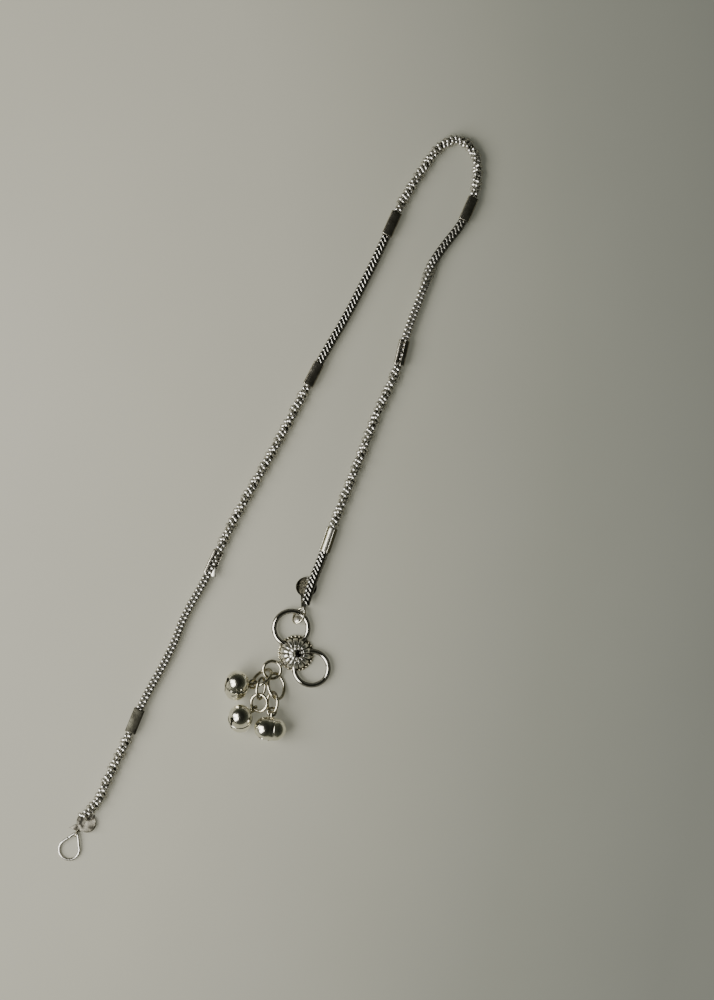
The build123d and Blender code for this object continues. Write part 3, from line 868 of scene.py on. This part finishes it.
def chain(name, material):
    """A length of woven chain: waved outer strands a pitch apart, and inner ones between them."""
    names = list(CHAIN_BENDS)
    twisted = "twisted" in name
    full_corner = TWISTED_CORNER if twisted else PLAIN_CORNER
    roundness = TWISTED_ROUNDNESS if twisted else PLAIN_ROUNDNESS
    wave = TWISTED_WAVE if twisted else PLAIN_WAVE
    route = chain_route(name) / MM
    run = np.concatenate([[0], np.cumsum(np.linalg.norm(np.diff(route, axis=0), axis=1))])
    length = run[-1]
    count = int(round(length / LINK_PITCH))
    stations, degrees, flats, painted_shades = zip(*CHAIN_STATIONS[name])
    generator = np.random.default_rng(names.index(name) + CHAIN_SEED)

    def on_route(at):
        return np.stack([np.interp(at, run, route[:, axis]) for axis in range(3)], axis=1)

    layers = [
        # first link, in pitches, number of links, size, least painted shade
        (0.5, count, 1.0, 0.0),
        # The inner strands are painted dark all over: painted shade in the chain's core.
        (1.0, count - 1, INNER_SHARE, 1.0),
    ]
    shape = Shape()
    patina_and_shade_shares = []
    for first, number, size, least_painted_shade in layers:
        at = (np.arange(number) + first) * length / count
        centres = on_route(at)
        ways = unit(on_route(at + WAY_REACH) - on_route(at - WAY_REACH))
        squeeze = np.ones(number)
        if name != names[0]:
            squeeze = np.minimum(squeeze, out_of_sleeve(at))
        if name != names[-1]:
            squeeze = np.minimum(squeeze, out_of_sleeve(length - at))
        corners = SLEEVED_CORNER + (full_corner - SLEEVED_CORNER) * squeeze
        turns = np.radians(np.interp(at / length, stations, degrees))
        centres[:, 2] = np.maximum(centres[:, 2], resting_height(corners, turns, twisted))
        tilts = np.zeros((number, 2))
        if twisted:
            tilts = generator.normal(0, TWISTED_JITTER, (number, 2)) * squeeze[:, None]
        flatness = np.interp(at / length, stations, flats)
        vertices, depth = strand_rings(
            centres, ways, turns, corners * size, roundness, wave, flatness, tilts,
        )
        along_steps, across_steps = vertices.shape[1:3]
        faces = grid_faces(along_steps, across_steps, True, True)
        for strand in vertices.reshape(number, -1, 3) * MM:
            shape.add(strand.tolist(), faces)
        # Painted shade: each length's darkness from its stations, at least as dark as its layer
        # asks.
        painted_shade = np.maximum(np.interp(at / length, stations, painted_shades), least_painted_shade)
        patina_and_shade_shares.append(np.maximum(depth, painted_shade[:, None, None]).ravel())
    piece = new_piece(name + "_weave", shape.vertices, shape.faces, material, "silver_chain", name)
    mark_patina_and_shade(piece, np.concatenate(patina_and_shade_shares))


# ================================================================ sleeves
def rounded_square(half_side, corner_radius, bow, count):
    """Evenly spaced points round a square with rounded corners and bowed flats."""
    flat = 2 * (half_side - corner_radius)
    arc = corner_radius * math.pi / 2
    points = []
    for index in range(count):
        side, reach = divmod(4 * index / count, 1)
        reach *= flat + arc
        y = reach - flat / 2
        x = half_side - bow * (2 * y / flat) ** 2
        if reach > flat:
            angle = (reach - flat) / corner_radius
            past = (reach - flat) / arc
            x = flat / 2 - bow * (1 - past) + corner_radius * math.cos(angle)
            y = flat / 2 - bow * past + corner_radius * math.sin(angle)
        points.append(turned((x, y), -90 * side))
    return points


def turned(point, degrees):
    """A flat point turned clockwise."""
    angle = math.radians(degrees)
    x, y = point
    return x * math.cos(angle) + y * math.sin(angle), y * math.cos(angle) - x * math.sin(angle)


def sleeve(index, finishes):
    """A square sleeve bent from sheet round the chain, its seam open and its rims rounded."""
    section_turn, seam_turn, gap, bow, finish = SLEEVES[index]
    bends = list(CHAIN_BENDS.values())
    start = Vector(bends[index][-1])
    end = Vector(bends[index + 1][0])
    way = (end - start).normalized()
    right = way.cross(UP).normalized()
    rise = right.cross(way)
    outline = rounded_square(
        SLEEVE_HALF_SIDE - SLEEVE_WALL / 2, SLEEVE_CORNER_RADIUS - SLEEVE_WALL, bow, SLEEVE_POINTS,
    )
    outline = [turned(point, section_turn) for point in outline]
    in_seam = []
    for point in outline:
        across, upward = turned(point, -seam_turn)
        in_seam.append(upward > 0 and abs(across) < gap / 2)
    opening = next(i for i in range(SLEEVE_POINTS) if in_seam[i - 1] and not in_seam[i])
    ordered = [(opening + i) % SLEEVE_POINTS for i in range(SLEEVE_POINTS)]
    kept = [outline[i] for i in ordered if not in_seam[i]][::2]
    vertices = []
    for row in range(SLEEVE_ROWS):
        along = (row / (SLEEVE_ROWS - 1) - 0.5) * SLEEVE_LENGTH
        middle = (start + end) / 2 + way * along
        vertices.extend((middle + right * x + rise * y) * MM for x, y in kept)
    faces = grid_faces(SLEEVE_ROWS, len(kept), False, False)
    sheet_piece(
        f"sleeve_{index + 1}_sheet", vertices, faces, SLEEVE_WALL, finishes[finish],
        "silver_polished", f"sleeve_{index + 1}",
    )


def sleeve_flap(material):
    """The corner of the second sleeve's sheet that stands out over its right edge."""
    shape = Shape()
    low = [Vector(corner) for corner in FLAP_CORNERS]
    shape.slab(low, [corner + UP * SLEEVE_WALL for corner in low])
    shape.piece("sleeve_2_flap", material, "silver_polished", "sleeve_2")


# ================================================================ leaf caps
def leaf(name, sizes, material, node):
    """A leaf-shaped plate under the chain's end, curled into a trough."""
    origin = on_table(sizes["disc_centre"])
    way = on_table(sizes["tail_end"]) - origin
    length = way.length
    way = way / length
    left = UP.cross(way)
    radius, tail, shift = sizes["disc_radius"], sizes["tail_radius"], sizes["curl_shift"]
    root = radius * LEAF_SHOULDER
    slope = (root - tail) / length
    dents = [
        (random.uniform(-radius, length), random.uniform(-radius, radius), random.choice((-1, 1)))
        for _ in range(LEAF_DENTS)
    ]

    def half_width(x):
        disc = math.sqrt(max(radius * radius - x * x, 0))
        arm = (root - slope * x) / math.sqrt(1 - slope * slope) if 0 < x <= length else 0
        if x > length:
            arm = math.sqrt(max(tail * tail - (x - length) ** 2, 0))
        return max(disc, arm, LEAF_TIP_HALF_WIDTH)

    def height(x, y):
        drop = math.sqrt(LEAF_CURL_RADIUS ** 2 - (y - shift) ** 2)
        z = LEAF_CURL_RADIUS - drop * (1 - LEAF_THICKNESS / 2 / LEAF_CURL_RADIUS)
        for dent_x, dent_y, sign in dents:
            reach = math.hypot(x - dent_x, y - dent_y) / LEAF_DENT_REACH
            z += LEAF_DENT_HEIGHT * sign * math.exp(-reach * reach)
        return max(z, LEAF_THICKNESS / 2)

    vertices = []
    for row in range(LEAF_ROWS):
        share = (1 - math.cos(math.pi * row / (LEAF_ROWS - 1))) / 2
        x = -radius + (length + tail + radius) * share
        for column in range(LEAF_COLUMNS):
            y = half_width(x) * (2 * column / (LEAF_COLUMNS - 1) - 1)
            vertices.append((origin + way * x + left * y + UP * height(x, y)) * MM)
    piece = sheet_piece(
        name, vertices, grid_faces(LEAF_ROWS, LEAF_COLUMNS, False, False),
        LEAF_THICKNESS * LEAF_SHEET_SHARE, material, "silver_polished", node,
    )
    # Painted shade along the plate's two edges: its painted dark rim.
    rims = []
    for vertex in piece.data.vertices:
        place = Vector(vertex.co) / MM - origin
        share = abs(place.dot(left)) / half_width(place.dot(way))
        rims.append(smooth_step((share - LEAF_RIM_START) / (LEAF_RIM_END - LEAF_RIM_START)))
    mark_patina_and_shade(piece, rims)


def charm_eye(material, solder_material):
    """The tilted oval eye on the upper ring's wire, with the solder in it and round it."""
    bearing = math.radians(CHARM_EYE_BEARING)
    outward = around(1, bearing)
    tilt = math.radians(CHARM_EYE_TILT)
    across = UP.cross(outward) * math.cos(tilt) + UP * math.sin(tilt)
    normal = outward.cross(across).normalized()
    pose = Matrix((outward, across, normal)).transposed()
    ring_centre = on_table(UPPER_RING_CENTRE, RING_HEIGHT)
    centre = ring_centre + outward * (RING_MEAN_RADIUS - CHARM_EYE_INSET)
    outline = oval_points(CHARM_EYE_HALF_LENGTH, CHARM_EYE_HALF_WIDTH)
    wire = Shape()
    wire.wire([centre + pose @ point for point in outline], normal, CHARM_EYE_WIRE / 2)
    wire.piece("leaf_cap_charm_eye", material, "silver_wire", "leaf_cap_charm")
    solder = Shape()
    solder.ball(
        centre - outward * CHARM_POOL_SHIFT, CHARM_POOL_RADIUS, POOL_LUMPS,
        CHARM_POOL_THICKNESS / 2 / CHARM_POOL_RADIUS, rings=24, sides=40, pose=pose,
    )
    joint = centre + outward * (CHARM_EYE_HALF_LENGTH + EYE_SOLDER_REACH)
    solder.ball((joint.x, joint.y, CHARM_SOLDER_HEIGHT), CHARM_SOLDER_RADIUS, SOLDER_LUMPS)
    for _ in range(CHARM_GRAINS):
        turn = random.uniform(-CHARM_GRAIN_TURN, CHARM_GRAIN_TURN)
        grain = centre + outward * math.cos(turn) * CHARM_EYE_HALF_LENGTH
        grain += across * math.sin(turn) * CHARM_EYE_HALF_WIDTH
        grain += UP * random.uniform(*CHARM_GRAIN_RISE)
        grain -= outward * random.uniform(0, CHARM_GRAIN_INSET)
        radius = random.uniform(*CHARM_GRAIN_RADII)
        solder.ball(grain, radius, GRAIN_LUMPS, rings=8, sides=12)
    solder.piece("leaf_cap_charm_solder", solder_material, "silver_wire", "leaf_cap_charm")


def hook_eye(material, leaf_material):
    """The small standing eye at the hook's leaf, its solder, and the leaf's bent-up corner."""
    tip = Vector(HOOK_TIP)
    toward = (on_table(HOOK_CENTRE[:2]) - on_table(HOOK_TIP[:2])).normalized()
    normal = toward.cross(UP)
    eye = Shape()
    outline = circle_points(tip, normal, HOOK_EYE_RADIUS, 48)
    eye.wire(outline, normal, HOOK_EYE_WIRE / 2, sides=14)
    joint = tip - toward * (HOOK_EYE_RADIUS + EYE_SOLDER_REACH)
    eye.ball((joint.x, joint.y, HOOK_SOLDER_HEIGHT), HOOK_SOLDER_RADIUS, SOLDER_LUMPS)
    eye.piece("leaf_cap_hook_eye", material, "silver_wire", "leaf_cap_hook")
    low = [on_table(point, HOOK_CORNER_LIFT) for point in HOOK_LEAF_CORNER]
    corner = Shape()
    corner.slab(low, [point + UP * HOOK_CORNER_THICKNESS for point in low])
    corner.piece("leaf_cap_hook_corner", leaf_material, "silver_polished", "leaf_cap_hook")


def hook_ring(material):
    """The cut teardrop ring of wire."""
    tip = Vector(HOOK_TIP)
    way = Vector(HOOK_CENTRE) - tip
    length = way.length
    way = way / length
    left = UP.cross(way).normalized()
    lean = math.asin((HOOK_MEAN_RADIUS - HOOK_TIP_RADIUS) / (length - HOOK_TIP_RADIUS))
    square = math.pi / 2

    def on_arc(middle, radius, angle):
        return tip + way * (middle + radius * math.cos(angle)) + left * radius * math.sin(angle)

    def on_side(sign, share):
        angle = sign * (square + lean)
        start = on_arc(HOOK_TIP_RADIUS, HOOK_TIP_RADIUS, angle)
        end = on_arc(length, HOOK_MEAN_RADIUS, angle)
        return start + (end - start) * share

    run = (on_side(-1, 1) - on_side(-1, 0)).length
    cut = HOOK_CUT_REACH / run
    far = (HOOK_CUT_REACH + HOOK_GAP) / run
    path = [on_side(-1, share) for share in spread(cut, 0, 6)]
    for angle in spread(-square - lean, lean - 3 * square, 24):
        path.append(on_arc(HOOK_TIP_RADIUS, HOOK_TIP_RADIUS, angle))
    path.extend(on_side(1, share) for share in spread(0, 1, 12))
    for angle in spread(square + lean, -square - lean, 72):
        path.append(on_arc(length, HOOK_MEAN_RADIUS, angle))
    path.extend(on_side(-1, share) for share in [*spread(1, far, 6), far])
    ring = Shape()
    ring.wire(path, way.cross(left).normalized(), HOOK_WIRE / 2, closed=False)
    ring.piece("hook_ring_wire", material, "silver_wire", "hook_ring")


# ================================================================ flower boss and rings
def ridge(share, first, last):
    """A bar's rounded lengthwise profile: 1 along its middle, 0 beyond its two ends."""
    middle = (first + last) / 2
    half = (last - first) / 2
    reach = min(abs(share - middle) / half, 1)
    return math.sqrt(1 - reach ** 4)


def lobe(turn, count):
    """A bar's cross profile: 1 on its broad crest, near 0 in the cleft beside it."""
    across = (turn * count / (2 * math.pi)) % 1 * 2 - 1
    return math.sqrt(1 - abs(across) ** PETAL_FULLNESS)


def flower_surface(share, turn):
    """A point of the boss, by its share of the way out and its turn, and how dark it is."""
    crest = CREST_HEIGHT * (1 - share ** CREST_FULLNESS) ** (1 / CREST_FULLNESS)
    cleft = 1 - lobe(turn, PETAL_COUNT)
    inner_cleft = 1 - lobe(turn + INNER_PETAL_TURN, INNER_PETAL_COUNT)
    place = around(DOME_RADIUS * share * (1 - PETAL_NOTCH * cleft * share ** 3), turn)
    pit = math.hypot(place.x - PIT_OFFSET, place.y) / PIT_RADIUS
    step = (share - PETAL_SHARES[0]) / TIER_STEP_SPREAD
    depth = PETAL_CLEFT * cleft * ridge(share, *PETAL_SHARES)
    depth += INNER_PETAL_CLEFT * inner_cleft * ridge(share, *INNER_PETAL_SHARES)
    depth += TIER_STEP_DEPTH * math.exp(-step ** 2)
    depth += PIT_DEPTH * smooth_step(PIT_EDGE - pit)
    place.z = PLATE_THICKNESS + max(crest - depth, -RIM_SINK)
    return place, smooth_step(depth / CLEFT_DARK - CLEFT_CLEAN)


def flower(material):
    """The boss: long rounded petals round a tier of short ones, with a pit in the middle."""
    columns = PETAL_COUNT * PETAL_COLUMNS
    points = [flower_surface(0, 0)]
    for row in range(1, FLOWER_ROWS):
        share = 1 - (1 - row / (FLOWER_ROWS - 1)) ** ROW_SPREAD
        points.extend(flower_surface(share, turn) for turn in full_turn(columns))
    points.append((UP * PLATE_THICKNESS / 2, 1.0))
    places, patina_and_shade_shares = zip(*points)
    shape = Shape()
    shape.add(
        [on_table(FLOWER_CENTRE) + place for place in places],
        capped_faces(FLOWER_ROWS - 1, columns),
    )
    piece = shape.piece("flower_petals", material, "silver_polished", "flower_connector")
    mark_patina_and_shade(piece, patina_and_shade_shares)


def flower_plate(material):
    """The round plate under the dome and the grains along its edge."""
    centre = on_table(FLOWER_CENTRE)
    plate, faces = lathe(PLATE_PROFILE)
    shape = Shape()
    shape.add([centre + place for place in plate], faces)
    for turn in full_turn(BEAD_COUNT):
        bead = centre + around(PLATE_RADIUS - BEAD_INSET, turn, PLATE_THICKNESS)
        shape.ball(bead, BEAD_RADIUS, BEAD_LUMPS, rings=8, sides=12)
    shape.piece("flower_plate", material, "silver_polished", "flower_connector")


def soldered_rings(material, wire_material, solder_material):
    """The upper ring, the catch ring and the drop ring, with their solder."""
    rings = Shape()
    for flat_centre in (UPPER_RING_CENTRE, CATCH_RING_CENTRE):
        points = circle_points(on_table(flat_centre, RING_HEIGHT), UP, RING_MEAN_RADIUS, 128)
        rings.wire(points, UP, RING_WIRE / 2, sides=24)
    rings.piece("connector_rings", material, "silver_wire", "flower_connector")
    drop = Shape()
    centre = on_table(DROP_RING_CENTRE, DROP_RING_HEIGHT)
    drop.wire(circle_points(centre, UP, DROP_RING_MEAN_RADIUS), UP, DROP_RING_WIRE / 2)
    drop.piece("connector_drop_ring", wire_material, "silver_wire", "flower_connector")
    way = (on_table(DROP_RING_CENTRE) - on_table(FLOWER_CENTRE)).normalized()
    joint = on_table(FLOWER_CENTRE, DROP_SOLDER_HEIGHT) + way * (PLATE_RADIUS + DROP_SOLDER_REACH)
    solder = Shape()
    solder.ball(joint, DROP_SOLDER_RADIUS, DROP_SOLDER_LUMPS)
    solder.piece("connector_solder", solder_material, "silver_wire", "flower_connector")


# ================================================================ loose links and bells
def link(name, sizes, material):
    """A loose link at its tilt."""
    centre, half_length, half_width, wire, bearing, pitch, roll = sizes
    pose = (
        Matrix.Rotation(math.radians(bearing), 3, "Z")
        @ Matrix.Rotation(math.radians(-pitch), 3, "Y")
        @ Matrix.Rotation(math.radians(roll), 3, "X")
    )
    outline = [Vector(centre) + pose @ point for point in oval_points(half_length, half_width)]
    shape = Shape()
    shape.wire(outline, pose @ UP, wire / 2)
    shape.piece(name + "_wire", material, "silver_wire", name)


def cup_mesh(radius, edge):
    """A closed pair of cups mouth to mouth, as a mesh; the edge's points lead to the mouth."""
    upper = [
        (radius * math.sin(tilt), CUP_STRAIGHT + radius * math.cos(tilt))
        for tilt in [*spread(0, math.pi / 2, CUP_STEPS), math.pi / 2]
    ]
    upper.extend(edge)
    profile = upper + [(reach, -z) for reach, z in reversed(upper)]
    vertices, faces = lathe([(reach * MM, z * MM) for reach, z in profile])
    # Each quad starts at its upper corner, from where the slit's cut leaves the fewest points.
    return new_mesh("cup", vertices, [face[-1:] + face[:-1] for face in faces])


def slit_mesh():
    """The body that cuts the slit: a straight saw cut with a round hole at each end."""
    made = bmesh.new()
    outline = []
    corner = math.asin(SLIT_WIDTH / 2 / SLIT_END_RADIUS)
    last = 2 * math.pi - corner
    for end in (1, -1):
        for angle in [*spread(corner, last, 24), last]:
            y = SLIT_END_RADIUS * math.sin(angle) * end
            z = end * (SLIT_HALF_LENGTH - SLIT_END_RADIUS * math.cos(angle))
            outline.append((y, z))
    outer = -(FLANGE_RADIUS + 1)
    front = [made.verts.new((outer * MM, y * MM, z * MM)) for y, z in outline]
    back = [made.verts.new((-SLIT_TOOL_INNER_END * MM, y * MM, z * MM)) for y, z in outline]
    made.faces.new(front)
    made.faces.new(back[::-1])
    for index in range(len(outline)):
        after = (index + 1) % len(outline)
        made.faces.new((front[after], front[index], back[index], back[after]))
    bmesh.ops.recalc_face_normals(made, faces=made.faces)
    mesh = bpy.data.meshes.new("slit")
    made.to_mesh(mesh)
    made.free()
    return mesh


def bell_cups_mesh():
    """The two hollow cups with their flange, cut by the slit."""
    outside = cup_mesh(CUP_RADIUS, FLANGE_PROFILE)
    inside = cup_mesh(CUP_RADIUS - CUP_WALL, [])
    objects = [new_object(mesh.name, mesh) for mesh in (outside, inside, slit_mesh())]
    cups, *tools = objects
    for tool in tools:
        cut = cups.modifiers.new(tool.name, "BOOLEAN")
        cut.operation = "DIFFERENCE"
        cut.solver = "EXACT"
        cut.object = tool
    graph = bpy.context.evaluated_depsgraph_get()
    mesh = bpy.data.meshes.new_from_object(cups.evaluated_get(graph))
    for made in objects:
        bpy.data.objects.remove(made)
    mesh.shade_smooth()
    mesh.set_sharp_from_angle(angle=math.radians(SMOOTH_ANGLE))
    return mesh


def bell(index, cups_mesh, material, wire_material):
    """A bell at its tilt, resting on the table: the cut cups, and the eye on its stem."""
    place, *angles = BELLS[index]
    rise, bearing, turn, twist = (math.radians(angle) for angle in angles)
    level = Vector((math.sin(bearing), math.cos(bearing), 0))
    axis = level * math.cos(rise) + UP * math.sin(rise)
    side = level.cross(UP)
    eye_way = side * math.cos(turn) + axis.cross(side) * math.sin(turn)
    pose = Matrix((eye_way, axis.cross(eye_way), axis)).transposed()
    eye_normal = pose @ Vector((0, -math.sin(twist), math.cos(twist)))
    low_flange = FLANGE_RADIUS * math.sqrt(1 - axis.z ** 2) + FLANGE_THICKNESS / 2 * abs(axis.z)
    low_cup = CUP_STRAIGHT * abs(axis.z) + CUP_RADIUS
    low_eye = BELL_EYE_RADIUS * math.sqrt(1 - eye_normal.z ** 2) + BELL_EYE_WIRE / 2
    low_eye -= eye_way.z * BELL_EYE_REACH
    centre = on_table(place, max(low_flange, low_cup, low_eye))
    name = f"bell_{index + 1}"
    mesh = cups_mesh.copy()
    mesh.transform(Matrix.Translation(centre * MM) @ pose.to_4x4())
    finish_piece(name + "_cups", mesh, material, "silver_polished", name)
    shape = Shape()
    eye = circle_points(centre + eye_way * BELL_EYE_REACH, eye_normal, BELL_EYE_RADIUS, 64)
    shape.wire(eye, eye_normal, BELL_EYE_WIRE / 2, sides=16)
    start = CUP_RADIUS - BELL_NECK_SINK
    neck = [*spread(start, start + BELL_NECK_LENGTH, 5), start + BELL_NECK_LENGTH]
    stem = [centre + eye_way * reach for reach in neck]
    shape.wire(stem, axis, BELL_NECK_RADIUS, closed=False, sides=16)
    shape.piece(name + "_eye", wire_material, "silver_wire", name)


# ================================================================ set, light and camera
def floor(material):
    """The sheet of paper that the anklet lies on."""
    size = PAPER_HALF_SIDE
    corners = [(-size, -size, 0), (size, -size, 0), (size, size, 0), (-size, size, 0)]
    mesh = new_mesh("paper_floor", corners, [(0, 1, 2, 3)])
    mesh.materials.append(material)
    new_object("paper_floor", mesh)


def window(name, place):
    """A tall soft light aimed at the middle of the table."""
    light = bpy.data.lights.new(name, "AREA")
    light.shape = "RECTANGLE"
    light.size, light.size_y = WINDOW_SIZE
    light.energy = WINDOW_POWER
    light.color = WINDOW_COLOUR
    made = new_object(name, light)
    made.location = place
    made.rotation_mode = "QUATERNION"
    made.rotation_quaternion = (-Vector(place)).to_track_quat("-Z", "Y")


def room():
    """The dim room round the table."""
    made = bpy.data.worlds.new("room")
    bpy.context.scene.world = made
    shading = Shading(made)
    direction = shading.nodes.new("ShaderNodeTexCoord").outputs["Generated"]
    background = shading.nodes["Background"].inputs
    shading.link(shading.ramp(shading.height(direction), ROOM_TONES), background["Color"])
    background["Strength"].default_value = 1.0


def camera():
    """Straight down on the table, from well above it."""
    data = bpy.data.cameras.new("camera")
    data.sensor_width = SENSOR
    data.lens = SENSOR * VIEW_HEIGHT / PICTURE_LONG_SIDE
    data.clip_start, data.clip_end = CLIP
    made = new_object("camera", data)
    made.location = on_table(VIEW_CENTRE, VIEW_HEIGHT) * MM
    bpy.context.scene.camera = made


# ================================================================ the whole scene
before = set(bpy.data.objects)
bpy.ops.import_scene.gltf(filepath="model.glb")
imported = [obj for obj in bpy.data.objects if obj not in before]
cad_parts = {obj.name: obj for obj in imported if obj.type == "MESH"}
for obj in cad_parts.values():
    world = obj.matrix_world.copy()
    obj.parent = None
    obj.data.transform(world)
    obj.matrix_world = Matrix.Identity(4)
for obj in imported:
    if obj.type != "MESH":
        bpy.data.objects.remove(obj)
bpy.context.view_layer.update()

finishes = {name: silver(name, *settings) for name, settings in FINISHES.items()}
for chain_name in CHAIN_BENDS:
    # The shaded plain lengths take a darker copy of the silver: painted shade.
    finish = "shaded_plain_silver" if chain_name in SHADED_LENGTHS else "chain_silver"
    chain(chain_name, finishes[finish])
for sleeve_index in range(len(SLEEVES)):
    sleeve(sleeve_index, finishes)
sleeve_flap(finishes["solder_silver"])
leaf("leaf_cap_charm_plate", CHARM_LEAF, finishes["leaf_silver"], "leaf_cap_charm")
leaf("leaf_cap_hook_plate", HOOK_LEAF, finishes["shaded_hook_leaf_silver"], "leaf_cap_hook")
charm_eye(finishes["wire_silver"], finishes["solder_silver"])
hook_eye(finishes["wire_silver"], finishes["shaded_hook_leaf_silver"])
hook_ring(finishes["hook_silver"])
flower(finishes["flower_silver"])
flower_plate(finishes["wire_silver"])
soldered_rings(finishes["ring_silver"], finishes["wire_silver"], finishes["solder_silver"])
for link_name, link_sizes in LINKS.items():
    link(link_name, link_sizes, finishes["wire_silver"])
cups = bell_cups_mesh()
for bell_index in range(len(BELLS)):
    bell(bell_index, cups, finishes["bell_silver"], finishes["wire_silver"])
    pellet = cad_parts[f"bell_pellet_{bell_index + 1}"]
    pellet.data.materials.clear()
    pellet.data.materials.append(finishes["pellet_steel"])

floor(paper())
for window_name, window_place in WINDOWS.items():
    window(window_name, window_place)
room()
camera()
